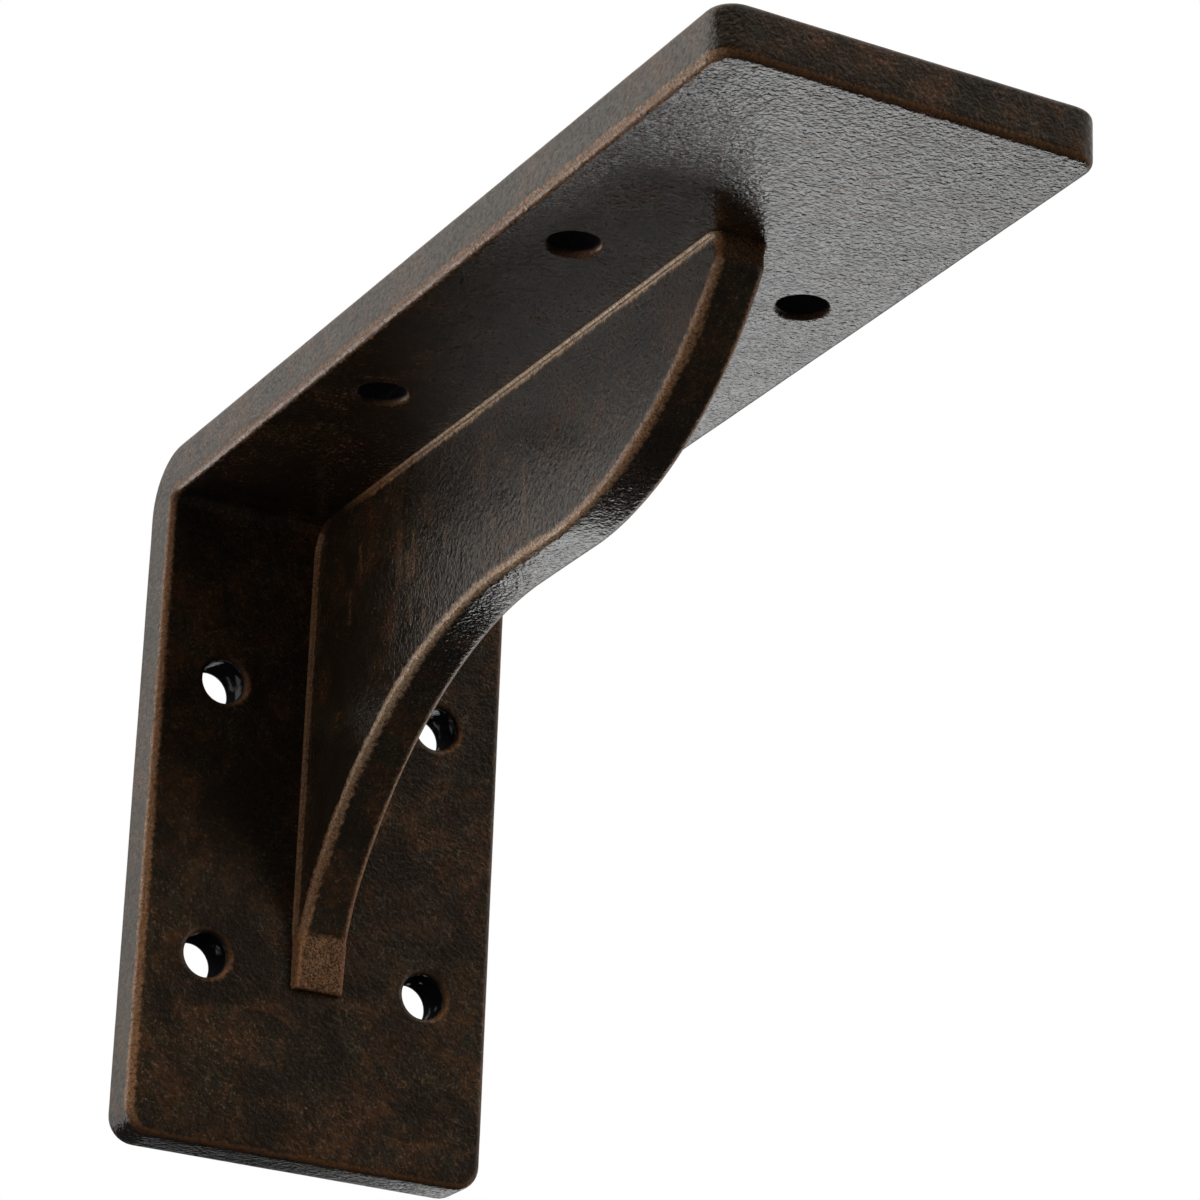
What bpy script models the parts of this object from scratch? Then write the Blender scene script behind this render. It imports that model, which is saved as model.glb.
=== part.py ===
"""Steel angle bracket: a flat bar bent to a right angle, with an upright web plate of ogee outline under its arm.

Metres, +Z up. The back of the leg lies on the plane Y = 0, the arm reaches forward along -Y, and X runs across
the bar. The origin is on the leg's back face, at the middle of its four screw holes.
"""
import math

import bmesh
import bpy

MM = 0.001

# Driving dimensions of the bent bar
BAR_WIDTH = 51.0 * MM
ARM_REACH = 152.4 * MM
LEG_HEIGHT = 95.25 * MM
STOCK = 6.9 * MM
BEND_INSIDE = 1.5 * MM
END_CORNER = 3.6 * MM
EDGE_ROUND = 1.0 * MM

# Screw holes, placed from the top of the arm and from the wall
HOLE_RADIUS = 3.0 * MM
HOLE_EASE = 0.8 * MM
HOLE_OFFSET = 15.875 * MM
LEG_HOLES_BELOW_TOP = (31.75 * MM, 69.85 * MM)
ARM_HOLES_FROM_WALL = (50.8 * MM, 101.6 * MM)

# Web plate: depths are measured from the wall, drops from the top of the arm
WEB_END_DEPTH = 114.3 * MM
WEB_SHOULDER_DROP = 32.2 * MM
SWELL_START_DEPTH = 74.4 * MM
SWELL_RADIUS = 47.5 * MM
HOLLOW_START_DEPTH = 60.8 * MM
HOLLOW_RADIUS = 58.0 * MM
NOSE_TOP_DEPTH = 8.5 * MM
NOSE_FOOT_DEPTH = 7.9 * MM
NOSE_FOOT_DROP = 72.4 * MM
WEB_HEEL_RADIUS = 4.5 * MM
WEB_EDGE_ROUND = 1.2 * MM
NOSE_EDGE_SHARE = 0.4

# Fit between the web plate and the bar
SEAM_GAP = 0.3 * MM

BEND_SEGMENTS = 8
CORNER_SEGMENTS = 5
ROUND_SEGMENTS = 3
HOLE_SIDES = 32
CURVE_STEPS = 20
SHARP_ANGLE = 35
RIM_ANGLE = 60
TOUCH = 0.001 * MM

TOP = sum(LEG_HOLES_BELOW_TOP) / 2
LEG_FOOT = TOP - LEG_HEIGHT
ARM_UNDERSIDE = TOP - STOCK
HALF_WIDTH = BAR_WIDTH / 2


def clear_scene():
    """Take every object out of the scene."""
    for thing in list(bpy.data.objects):
        bpy.data.objects.remove(thing, do_unlink=True)


def steel(name, colour, roughness, metallic):
    """A painted steel material for the viewport and the renders."""
    material = bpy.data.materials.new(name)
    material.use_nodes = True
    shader = material.node_tree.nodes["Principled BSDF"]
    shader.inputs["Base Color"].default_value = (*colour, 1.0)
    shader.inputs["Roughness"].default_value = roughness
    shader.inputs["Metallic"].default_value = metallic
    material.diffuse_color = (*colour, 1.0)
    return material


def arc(centre, radius, start, end, steps):
    """Points of an arc in the side view, as (y, z), with angles in degrees from +Y towards +Z."""
    points = []
    for index in range(steps + 1):
        angle = math.radians(start + (end - start) * index / steps)
        points.append((centre[0] + radius * math.cos(angle), centre[1] + radius * math.sin(angle)))
    return points


def side_profile_mesh(outline, width):
    """A bmesh plate: the (y, z) outline extruded across X, centred on X = 0."""
    mesh = bmesh.new()
    corners = [mesh.verts.new((-width / 2, y, z)) for y, z in outline]
    face = mesh.faces.new(corners)
    swept = bmesh.ops.extrude_face_region(mesh, geom=[face])
    moved = [item for item in swept["geom"] if isinstance(item, bmesh.types.BMVert)]
    bmesh.ops.translate(mesh, verts=moved, vec=(width, 0.0, 0.0))
    bmesh.ops.recalc_face_normals(mesh, faces=mesh.faces)
    return mesh


def round_edges(mesh, edges, radius, segments):
    """Round the given edges of a bmesh."""
    bmesh.ops.bevel(mesh, geom=edges, offset=radius, offset_type="OFFSET", segments=segments,
                    profile=0.5, affect="EDGES", clamp_overlap=True)


def finish(mesh, name, material):
    """Turn a bmesh into a named object with smooth rounds and crisp flats."""
    data = bpy.data.meshes.new(name)
    mesh.to_mesh(data)
    mesh.free()
    data.materials.append(material)
    data.shade_smooth()
    data.set_sharp_from_angle(angle=math.radians(SHARP_ANGLE))
    thing = bpy.data.objects.new(name, data)
    bpy.context.scene.collection.objects.link(thing)
    return thing


def bar_outline():
    """Side view of the bent bar, from the arm's tip round the back of the bend to the leg's foot."""
    outside = BEND_INSIDE + STOCK
    back = arc((-outside, TOP - outside), outside, 90, 0, BEND_SEGMENTS)
    inner = arc((-outside, TOP - outside), BEND_INSIDE, 0, 90, BEND_SEGMENTS)
    foot = [(0.0, LEG_FOOT), (-STOCK, LEG_FOOT)]
    tip = [(-ARM_REACH, ARM_UNDERSIDE), (-ARM_REACH, TOP)]
    return back + foot + inner + tip


def at_bar_end(edge):
    """True for the four short edges through the thickness at the corners of the bar's two ends."""
    first, second = edge.verts
    through = abs(abs(first.co.x) - HALF_WIDTH) < TOUCH and abs(first.co.x - second.co.x) < TOUCH
    at_tip = all(abs(vertex.co.y + ARM_REACH) < TOUCH for vertex in edge.verts)
    at_foot = all(abs(vertex.co.z - LEG_FOOT) < TOUCH for vertex in edge.verts)
    return through and (at_tip or at_foot)


def bent_bar(material):
    """The flat bar, bent to a right angle, with rounded ends and eased edges."""
    mesh = side_profile_mesh(bar_outline(), BAR_WIDTH)
    round_edges(mesh, [edge for edge in mesh.edges if at_bar_end(edge)], END_CORNER, CORNER_SEGMENTS)
    rims = [edge for edge in mesh.edges if edge.calc_face_angle(0.0) > math.radians(RIM_ANGLE)]
    round_edges(mesh, rims, EDGE_ROUND, ROUND_SEGMENTS)
    return finish(mesh, "bent_bar", material)


def spool_profile():
    """Half outline of a hole cutter as (radius, height): a straight bore that flares at both faces."""
    half = STOCK / 2
    overshoot = STOCK
    side = [(HOLE_RADIUS + HOLE_EASE, half + overshoot)]
    for index in range(ROUND_SEGMENTS + 1):
        angle = math.radians(90 * index / ROUND_SEGMENTS)
        radius = HOLE_RADIUS + HOLE_EASE * (1 - math.sin(angle))
        side.append((radius, half - HOLE_EASE * (1 - math.cos(angle))))
    mirrored = [(radius, -height) for radius, height in reversed(side)]
    return [(0.0, half + overshoot)] + side + mirrored + [(0.0, -half - overshoot)]


def add_spool(mesh, place, through_arm):
    """Spin one hole cutter into the bmesh, with its axis through the arm (Z) or through the leg (Y)."""
    def to_world(radius, height):
        if through_arm:
            return (place[0] + radius, place[1], place[2] + height)
        return (place[0] + radius, place[1] + height, place[2])

    profile = [mesh.verts.new(to_world(radius, height)) for radius, height in spool_profile()]
    edges = [mesh.edges.new(pair) for pair in zip(profile, profile[1:])]
    axis = (0.0, 0.0, 1.0) if through_arm else (0.0, 1.0, 0.0)
    bmesh.ops.spin(mesh, geom=profile + edges, cent=place, axis=axis, angle=math.tau,
                   steps=HOLE_SIDES, use_merge=True)


def hole_places():
    """Middle of each screw hole, with True for a hole through the arm."""
    places = []
    for side in (-HOLE_OFFSET, HOLE_OFFSET):
        for drop in LEG_HOLES_BELOW_TOP:
            places.append(((side, -STOCK / 2, TOP - drop), False))
        for depth in ARM_HOLES_FROM_WALL:
            places.append(((side, -depth, TOP - STOCK / 2), True))
    return places


def cut_screw_holes(bar):
    """Cut the eight screw holes out of the bar."""
    mesh = bmesh.new()
    for place, through_arm in hole_places():
        add_spool(mesh, place, through_arm)
    bmesh.ops.remove_doubles(mesh, verts=mesh.verts, dist=TOUCH)
    bmesh.ops.recalc_face_normals(mesh, faces=mesh.faces)
    data = bpy.data.meshes.new("screw_hole_cutter")
    mesh.to_mesh(data)
    mesh.free()
    cutter = bpy.data.objects.new("screw_hole_cutter", data)
    cutter.hide_render = True
    cutter.display_type = "WIRE"
    bpy.context.scene.collection.objects.link(cutter)
    cut = bar.modifiers.new("screw_holes", "BOOLEAN")
    cut.operation = "DIFFERENCE"
    cut.solver = "EXACT"
    cut.object = cutter


def rim_radius(depth):
    """Radius of the web plate's eased rim at a depth: full on the body, small where the nose thins out."""
    return min(WEB_EDGE_ROUND, NOSE_EDGE_SHARE * (depth - STOCK - SEAM_GAP))


def web_outline():
    """Side view of the web plate as (y, z, rim radius), from its heel round under the arm to its nose."""
    shoulder = TOP - WEB_SHOULDER_DROP
    seam_top = ARM_UNDERSIDE - SEAM_GAP
    seam_back = -STOCK - SEAM_GAP
    heel = arc((seam_back - WEB_HEEL_RADIUS, seam_top - WEB_HEEL_RADIUS), WEB_HEEL_RADIUS, 0, 90, BEND_SEGMENTS)
    end = [(-WEB_END_DEPTH, seam_top)]
    swell_centre = (-SWELL_START_DEPTH, shoulder + SWELL_RADIUS)
    swell_turn = math.degrees(math.asin((WEB_END_DEPTH - SWELL_START_DEPTH) / SWELL_RADIUS))
    swell = arc(swell_centre, SWELL_RADIUS, 270 - swell_turn, 270, CURVE_STEPS)
    hollow_centre = (-HOLLOW_START_DEPTH, shoulder - HOLLOW_RADIUS)
    hollow_turn = math.degrees(math.asin((HOLLOW_START_DEPTH - NOSE_TOP_DEPTH) / HOLLOW_RADIUS))
    hollow = arc(hollow_centre, HOLLOW_RADIUS, 90, 90 - hollow_turn, CURVE_STEPS)
    nose_foot = [(-NOSE_FOOT_DEPTH, TOP - NOSE_FOOT_DROP)]
    full = [(y, z, WEB_EDGE_ROUND) for y, z in heel + end]
    front = [(y, z, rim_radius(-y)) for y, z in swell + hollow + nose_foot]
    back = [(seam_back, z, radius) for y, z, radius in reversed(front) if radius < WEB_EDGE_ROUND]
    return full + front + back


def mitre(before, point, after):
    """Inward corner vector of a clockwise outline, long enough to move both of its sides in by 1."""
    sides = []
    for start, end in ((before, point), (point, after)):
        length = math.hypot(end[0] - start[0], end[1] - start[1])
        sides.append(((start[1] - end[1]) / length, (end[0] - start[0]) / length))
    (first_y, first_z), (second_y, second_z) = sides
    scale = 1.0 + first_y * second_y + first_z * second_z
    return ((first_y + second_y) / scale, (first_z + second_z) / scale)


def rim_rings(mesh, outline, width):
    """Rings of vertices across the plate, closing in towards both faces along the rounded rim."""
    count = len(outline)
    inward = [mitre(outline[index - 1], outline[index], outline[(index + 1) % count]) for index in range(count)]
    turns = [90 * step / ROUND_SEGMENTS for step in range(ROUND_SEGMENTS + 1)]
    rings = []
    for side, angles in ((-1, turns), (1, reversed(turns))):
        for angle in angles:
            towards_face = 1 - math.cos(math.radians(angle))
            inwards = 1 - math.sin(math.radians(angle))
            ring = []
            for (y, z, radius), (step_y, step_z) in zip(outline, inward):
                x = side * (width / 2 - radius * towards_face)
                ring.append(mesh.verts.new((x, y + radius * inwards * step_y, z + radius * inwards * step_z)))
            rings.append(ring)
    return rings


def web_plate(material):
    """The upright plate that stiffens the bend, with eased edges."""
    mesh = bmesh.new()
    rings = rim_rings(mesh, web_outline(), STOCK)
    for near, far in zip(rings, rings[1:]):
        for index in range(len(near)):
            mesh.faces.new((near[index - 1], near[index], far[index], far[index - 1]))
    mesh.faces.new(rings[0])
    mesh.faces.new(rings[-1])
    bmesh.ops.recalc_face_normals(mesh, faces=mesh.faces)
    return finish(mesh, "web_plate", material)


def main():
    clear_scene()
    bar_steel = steel("dark_bronzed_bar", (0.045, 0.033, 0.025), 0.45, 0.85)
    web_steel = steel("dark_bronzed_web", (0.055, 0.042, 0.034), 0.45, 0.85)
    cut_screw_holes(bent_bar(bar_steel))
    web_plate(web_steel)


main()
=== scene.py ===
"""Looks of a dark-bronzed steel bracket: a flat bar bent to a right angle, with an ogee web plate under it.

Metres, +Z up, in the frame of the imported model: the back of the leg lies on Y = 0, the arm reaches along -Y,
and X runs across the bar. Lengths that are easier to read in millimetres are written as a number times MM.
"""
import logging
import math
from dataclasses import dataclass, field
from enum import Enum

import bpy
import numpy as np
from mathutils import Matrix, Vector
from mathutils.geometry import delaunay_2d_cdt


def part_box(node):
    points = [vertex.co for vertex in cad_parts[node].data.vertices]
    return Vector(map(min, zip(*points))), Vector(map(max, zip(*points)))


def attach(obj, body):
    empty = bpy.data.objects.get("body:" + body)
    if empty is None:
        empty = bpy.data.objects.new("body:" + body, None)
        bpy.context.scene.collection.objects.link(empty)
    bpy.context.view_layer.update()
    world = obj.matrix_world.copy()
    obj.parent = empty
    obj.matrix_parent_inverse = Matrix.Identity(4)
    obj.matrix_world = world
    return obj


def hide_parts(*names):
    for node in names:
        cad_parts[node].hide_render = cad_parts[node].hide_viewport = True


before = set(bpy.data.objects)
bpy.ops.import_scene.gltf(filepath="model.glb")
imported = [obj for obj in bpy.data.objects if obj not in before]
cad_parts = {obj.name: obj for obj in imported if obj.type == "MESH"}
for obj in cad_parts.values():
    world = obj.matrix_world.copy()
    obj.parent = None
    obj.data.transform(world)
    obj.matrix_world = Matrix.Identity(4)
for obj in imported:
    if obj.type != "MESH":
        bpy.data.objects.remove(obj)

LOG = logging.getLogger("bracket")
MM = 0.001
RIM_STEPS = 6
WALL_STEPS = 6
CORNER_STEPS = 8
RIM_GAP = "rim_gap"
WEAR = "wear"
BARE = "bare"
RUB = "rub"
BORE = "bore"
MARK_BARE = 0.2
NEAR_FACE_DEPTH = 0.3 * MM
RIM_MIDDLE = math.pi / 4
NOISE_MIDDLE = 0.5

Colour = tuple[float, float, float]
Socket = bpy.types.NodeSocket


class NodeSheet:
    """Adds nodes to one node tree and joins them up."""

    def __init__(self, tree: bpy.types.NodeTree) -> None:
        """Take over a tree.

        Args:
            tree: The shader or geometry tree to work in.
        """
        self.tree = tree

    def put(self, target: Socket, value: object) -> None:
        """Feed an input from another socket, or give it a plain value.

        Args:
            target: The input socket.
            value: An output socket, or a value that the input takes.
        """
        if isinstance(value, bpy.types.NodeSocket):
            self.tree.links.new(value, target)
        else:
            target.default_value = value

    def add(self, kind: str, inputs: dict[str | int, object] | None = None,
            **settings: object) -> bpy.types.Node:
        """Add a node.

        Args:
            kind: The node's type name.
            inputs: What feeds its inputs, by name or number.
            settings: The node's own options.

        Returns:
            The new node.
        """
        node = self.tree.nodes.new(kind)
        for name, value in settings.items():
            setattr(node, name, value)
        for name, value in (inputs or {}).items():
            self.put(node.inputs[name], value)
        return node

    def math(self, operation: str, *values: object) -> Socket:
        """Work out one number from one to three others.

        Args:
            operation: The name of the sum, such as ADD.
            values: Sockets or numbers.

        Returns:
            The result's socket.
        """
        return self.add("ShaderNodeMath", dict(enumerate(values)), operation=operation).outputs[0]

    def vector(self, operation: str, *values: object) -> Socket:
        """Work out one vector from others.

        Args:
            operation: The name of the sum, such as MULTIPLY.
            values: Sockets or vectors.

        Returns:
            The result's socket.
        """
        return self.add("ShaderNodeVectorMath", dict(enumerate(values)), operation=operation).outputs[0]

    def stretch(self, vector: object, factor: object) -> Socket:
        """Scale a vector by a number.

        Args:
            vector: The vector's socket.
            factor: A socket or a number.

        Returns:
            The scaled vector's socket.
        """
        node = self.add("ShaderNodeVectorMath", {0: vector, "Scale": factor}, operation="SCALE")
        return node.outputs[0]

    def fade(self, value: object, start: float, end: float, low: float = 0.0, high: float = 1.0) -> Socket:
        """Turn a range of a value into a smooth step.

        Args:
            value: The value's socket.
            start: Where the step begins.
            end: Where it ends, which may be under the start.
            low: The result at the start.
            high: The result at the end.

        Returns:
            The stepped value's socket.
        """
        ends = {"Value": value, "From Min": start, "From Max": end, "To Min": low, "To Max": high}
        return self.add("ShaderNodeMapRange", ends, interpolation_type="SMOOTHSTEP").outputs[0]

    def noise(self, place: object, scale: object, detail: float = 2.0, rough: float = 0.5,
              warp: float = 0.0) -> Socket:
        """Cloudy noise between 0 and 1.

        Args:
            place: Where it is read.
            scale: How many clouds there are to a unit of the place.
            detail: How many finer layers it has.
            rough: How strong the finer layers are.
            warp: How far the clouds are twisted.

        Returns:
            The noise's socket.
        """
        inputs = {"Vector": place, "Scale": scale, "Detail": detail, "Roughness": rough, "Distortion": warp}
        return self.add("ShaderNodeTexNoise", inputs).outputs[0]

    def blend(self, share: object, first: object, second: object) -> Socket:
        """Mix two colours.

        Args:
            share: How much of the second shows.
            first: A socket or a colour.
            second: A socket or a colour.

        Returns:
            The mixed colour's socket.
        """
        node = self.add("ShaderNodeMix", data_type="RGBA")
        for name, value in (("Factor_Float", share), ("A_Color", first), ("B_Color", second)):
            target = next(socket for socket in node.inputs if socket.identifier == name)
            self.put(target, (*value, 1.0) if isinstance(value, tuple) else value)
        return next(socket for socket in node.outputs if socket.identifier == "Result_Color")


@dataclass(frozen=True)
class Cloud:
    """A layer of cloudy noise, and the step that it is read through if it has one."""

    scale: float
    detail: float = 2.0
    rough: float = 0.5
    warp: float = 0.0
    step: tuple[float, ...] = ()

    def over(self, sheet: NodeSheet, spot: Socket) -> Socket:
        """Spread the clouds over a piece.

        Args:
            sheet: The material's sheet.
            spot: Coordinates on the piece, in millimetres.

        Returns:
            The socket of the noise, or of what its step makes of it.
        """
        noise = sheet.noise(spot, self.scale, self.detail, self.rough, self.warp)
        return sheet.fade(noise, *self.step) if self.step else noise


@dataclass(frozen=True)
class BronzeCoat:
    """Dark antique bronze coat over steel, rubbed through to copper brown on its rims."""

    name: str
    coat: Colour = (0.024, 0.016, 0.010)
    olive: Colour = (0.060, 0.045, 0.022)
    mottle: Colour = (0.135, 0.056, 0.020)
    speck: Colour = (0.30, 0.17, 0.09)
    rubbed: Colour = (0.42, 0.18, 0.070)
    bare: Colour = (0.86, 0.60, 0.38)
    # inside: painted shade, a near-black colour for the hole bores that stands in for the shade inside the
    # screw holes
    inside: Colour = (0.008, 0.008, 0.009)
    mottle_share: float = 0.65
    speck_share: float = 0.35
    scratch_share: float = 0.16
    rim_reach: float = 1.15
    rim_core: float = 0.35
    peel_height: float = 0.11 * MM
    wrinkle_height: float = 0.045 * MM
    bare_metal: float = 0.2
    shine: float = 0.20
    shine_swing: float = 0.05
    worn_dullness: float = 0.12
    bore_dullness: float = 0.1
    ragged_reach: float = 1.8
    broad_reach: float = 0.8
    speck_floor: float = 0.15
    width_by_wear: float = 0.5
    grain: Cloud = Cloud(2.4, 2.0, 0.6)
    grain_on_bare: tuple[float, ...] = (0.36, 0.56, 0.45, 1.0)
    grain_in_specks: tuple[float, ...] = (0.56, 0.70)
    dust: Cloud = Cloud(3.6, 2.0, 0.6)
    dust_on_rims: tuple[float, ...] = (0.36, 0.58, 0.45, 1.0)
    dust_on_rubs: tuple[float, ...] = (0.40, 0.60, 0.12, 1.0)
    rim_fray: Cloud = Cloud(1.3, 4.0, 0.65)
    rim_sway: Cloud = Cloud(0.16)
    shine_clouds: Cloud = Cloud(0.35, 3.0)
    shine_step: tuple[float, float] = (0.3, 0.7)
    pits: Cloud = Cloud(1.5, 3.0, 0.65, step=(0.36, 0.60, 0.45, 1.05))
    flecks: Cloud = Cloud(0.32, 2.0, 0.5, step=(0.58, 0.74, 0.0, 0.26))
    patches: Cloud = Cloud(0.11, 4.0, 0.6, 0.8, step=(0.36, 0.66))
    hues: Cloud = Cloud(0.21, 3.0, 0.6, step=(0.42, 0.58))
    cover: Cloud = Cloud(0.8, 4.0, 0.7, step=(0.36, 0.66, 0.25, 1.0))
    peel: Cloud = Cloud(1.3, 1.5, 0.5, 0.3)
    wrinkle: Cloud = Cloud(2.6, 1.0, 0.5, 0.4)
    scratch_lines: Cloud = Cloud(0.55)
    scratch_places: Cloud = Cloud(0.16, 3.0, 0.6, step=(0.54, 0.68))
    scratch_width: tuple[float, float] = (0.012, 0.003)
    scratch_stretch: float = 16.0
    scratch_turns: tuple[tuple[float, float, float], ...] = ((0.5, 0.7, 0.4), (-0.6, -0.9, -0.5))
    seed: tuple[float, float, float] = (0.0, 0.0, 0.0)

    def build(self) -> bpy.types.Material:
        """Make the coat's material.

        Returns:
            The material.
        """
        material = bpy.data.materials.new(self.name)
        material.use_nodes = True
        sheet = NodeSheet(material.node_tree)
        shader = material.node_tree.nodes["Principled BSDF"]
        spot = self.place(sheet)
        grain = self.grain.over(sheet, spot)
        worn = self.worn(sheet, spot)
        bare = sheet.math("MULTIPLY", self.read(sheet, BARE), sheet.fade(grain, *self.grain_on_bare))
        # The bore share paints the hole walls near-black: painted shade inside the holes
        bore = self.read(sheet, BORE)
        colour = sheet.blend(worn, self.tone(sheet, spot, grain), sheet.blend(bare, self.rubbed, self.bare))
        sheet.put(shader.inputs["Base Color"], sheet.blend(bore, colour, self.inside))
        metal = sheet.math("MULTIPLY", sheet.math("MULTIPLY", worn, bare), self.bare_metal)
        sheet.put(shader.inputs["Metallic"], metal)
        low, high = self.shine - self.shine_swing, self.shine + self.shine_swing
        shine = sheet.fade(self.shine_clouds.over(sheet, spot), *self.shine_step, low, high)
        shine = sheet.math("ADD", shine, sheet.math("MULTIPLY", worn, self.worn_dullness))
        shine = sheet.math("ADD", shine, sheet.math("MULTIPLY", bore, self.bore_dullness))
        sheet.put(shader.inputs["Roughness"], shine)
        # In the bores the gloss comes from the sparse flecks, so it nearly vanishes: painted shade that hides
        # their reflections
        both = {0: bore, 2: self.pits.over(sheet, spot), 3: self.flecks.over(sheet, spot)}
        gloss = sheet.add("ShaderNodeMix", both, data_type="FLOAT").outputs[0]
        sheet.put(shader.inputs["Specular IOR Level"], gloss)
        sheet.put(shader.inputs["Normal"], self.skin(sheet, spot))
        material.diffuse_color = (*self.coat, 1.0)
        return material

    def place(self, sheet: NodeSheet) -> Socket:
        """Coordinates on the piece in millimetres."""
        here = sheet.add("ShaderNodeTexCoord").outputs["Object"]
        return sheet.vector("ADD", sheet.stretch(here, 1.0 / MM), self.seed)

    def read(self, sheet: NodeSheet, label: str) -> Socket:
        """One of the values that the mesh carries."""
        return sheet.add("ShaderNodeAttribute", attribute_name=label).outputs["Fac"]

    def worn(self, sheet: NodeSheet, spot: Socket) -> Socket:
        """Find where rims and rubbed places show copper brown.

        Args:
            sheet: The material's sheet.
            spot: Coordinates on the piece.

        Returns:
            A share from 0 to 1.
        """
        wear = self.read(sheet, WEAR)
        ragged = sheet.math("SUBTRACT", self.rim_fray.over(sheet, spot), NOISE_MIDDLE)
        broad = sheet.math("SUBTRACT", self.rim_sway.over(sheet, spot), NOISE_MIDDLE)
        width = sheet.math("ADD", sheet.math("MULTIPLY", wear, self.width_by_wear), 1.0 - self.width_by_wear)
        strayed = sheet.math("DIVIDE", self.read(sheet, RIM_GAP), width)
        strayed = sheet.math("ADD", strayed, sheet.math("MULTIPLY", ragged, self.ragged_reach))
        strayed = sheet.math("ADD", strayed, sheet.math("MULTIPLY", broad, self.broad_reach))
        rim = sheet.math("MULTIPLY", sheet.fade(strayed, self.rim_reach, self.rim_core), wear)
        dust = self.dust.over(sheet, spot)
        rim = sheet.math("MULTIPLY", rim, sheet.fade(dust, *self.dust_on_rims))
        rubbed = sheet.math("MULTIPLY", self.read(sheet, RUB), sheet.fade(dust, *self.dust_on_rubs))
        return sheet.math("MAXIMUM", rim, rubbed)

    def tone(self, sheet: NodeSheet, spot: Socket, grain: Socket) -> Socket:
        """Colour the whole coat: near-black with soft brown and olive patches and small lighter specks.

        Args:
            sheet: The material's sheet.
            spot: Coordinates on the piece.
            grain: Fine noise.

        Returns:
            The colour's socket.
        """
        patches = self.patches.over(sheet, spot)
        share = sheet.math("MULTIPLY", patches, self.cover.over(sheet, spot))
        share = sheet.math("MULTIPLY", share, self.mottle_share)
        mottled = sheet.blend(self.hues.over(sheet, spot), self.olive, self.mottle)
        colour = sheet.blend(share, self.coat, mottled)
        many = sheet.math("MULTIPLY", patches, self.speck_share)
        many = sheet.math("ADD", many, self.speck_floor * self.speck_share)
        specks = sheet.math("MULTIPLY", sheet.fade(grain, *self.grain_in_specks), many)
        lines = sheet.math("MULTIPLY", self.scratches(sheet, spot), self.scratch_share)
        return sheet.blend(sheet.math("MAXIMUM", specks, lines), colour, self.speck)

    def scratches(self, sheet: NodeSheet, spot: Socket) -> Socket:
        """Find fine scratches that cross the coat in two directions.

        Args:
            sheet: The material's sheet.
            spot: Coordinates on the piece.

        Returns:
            A share from 0 to 1.
        """
        drawn = []
        size = (1.0, self.scratch_stretch, self.scratch_stretch)
        for turn in self.scratch_turns:
            inputs = {"Vector": spot, "Rotation": turn, "Scale": size}
            along = sheet.add("ShaderNodeMapping", inputs, vector_type="TEXTURE").outputs[0]
            off = sheet.math("SUBTRACT", self.scratch_lines.over(sheet, along), NOISE_MIDDLE)
            drawn.append(sheet.fade(sheet.math("ABSOLUTE", off), *self.scratch_width))
        kept = self.scratch_places.over(sheet, spot)
        return sheet.math("MULTIPLY", sheet.math("MAXIMUM", *drawn), kept)

    def skin(self, sheet: NodeSheet, spot: Socket) -> Socket:
        """Give the coat its leathery skin.

        Args:
            sheet: The material's sheet.
            spot: Coordinates on the piece.

        Returns:
            The bumped normal's socket.
        """
        peel = sheet.math("MULTIPLY", self.peel.over(sheet, spot), self.peel_height)
        wrinkle = sheet.math("MULTIPLY", self.wrinkle.over(sheet, spot), self.wrinkle_height)
        height = sheet.math("ADD", peel, wrinkle)
        bump = sheet.add("ShaderNodeBump", {"Strength": 1.0, "Distance": 1.0, "Height": height})
        return bump.outputs["Normal"]


class Edge(Enum):
    """How a stretch of the web's outline is finished."""

    OPEN = "eased, in the open"
    SEAM = "fixed to the arm, with a low bead along it"
    LEG_SEAM = "fixed to the leg, with a duller bead along it"
    FILLED = "fixed to the bar, with the coat left whole"
    RUBBED = "eased, and rubbed all over"
    SCUFFED = "eased, and lightly rubbed"


# How much each kind of edge is rubbed all over, worn on its rim, and bare of coat there
EDGE_LOOKS = {Edge.OPEN: (0.0, 1.0, 1.0), Edge.SEAM: (0.0, 1.0, 1.0), Edge.LEG_SEAM: (0.0, 0.65, 0.15),
              Edge.FILLED: (0.0, 0.1, 0.0), Edge.RUBBED: (0.55, 0.9, 0.1), Edge.SCUFFED: (0.25, 0.7, 0.1)}


@dataclass(frozen=True)
class RubMark:
    """A short stroke on a plate's face where the coat is rubbed thin, in the plate's own plane."""

    start: tuple[float, float]
    end: tuple[float, float]
    width: float
    strength: float = 1.0

    def at(self, points: np.ndarray) -> np.ndarray:
        """How rubbed each point is.

        Args:
            points: Points in the plate's plane, one a row.

        Returns:
            A strength for each point, fading out towards the stroke's sides.
        """
        start, run = np.array(self.start), np.array(self.end) - np.array(self.start)
        share = np.clip((points - start) @ run / max(run @ run, 1e-12), 0.0, 1.0)
        off = np.linalg.norm(points - start - share[:, None] * run, axis=1)
        return self.strength * np.clip(1.0 - (off / self.width) ** 2, 0.0, 1.0)


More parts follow.
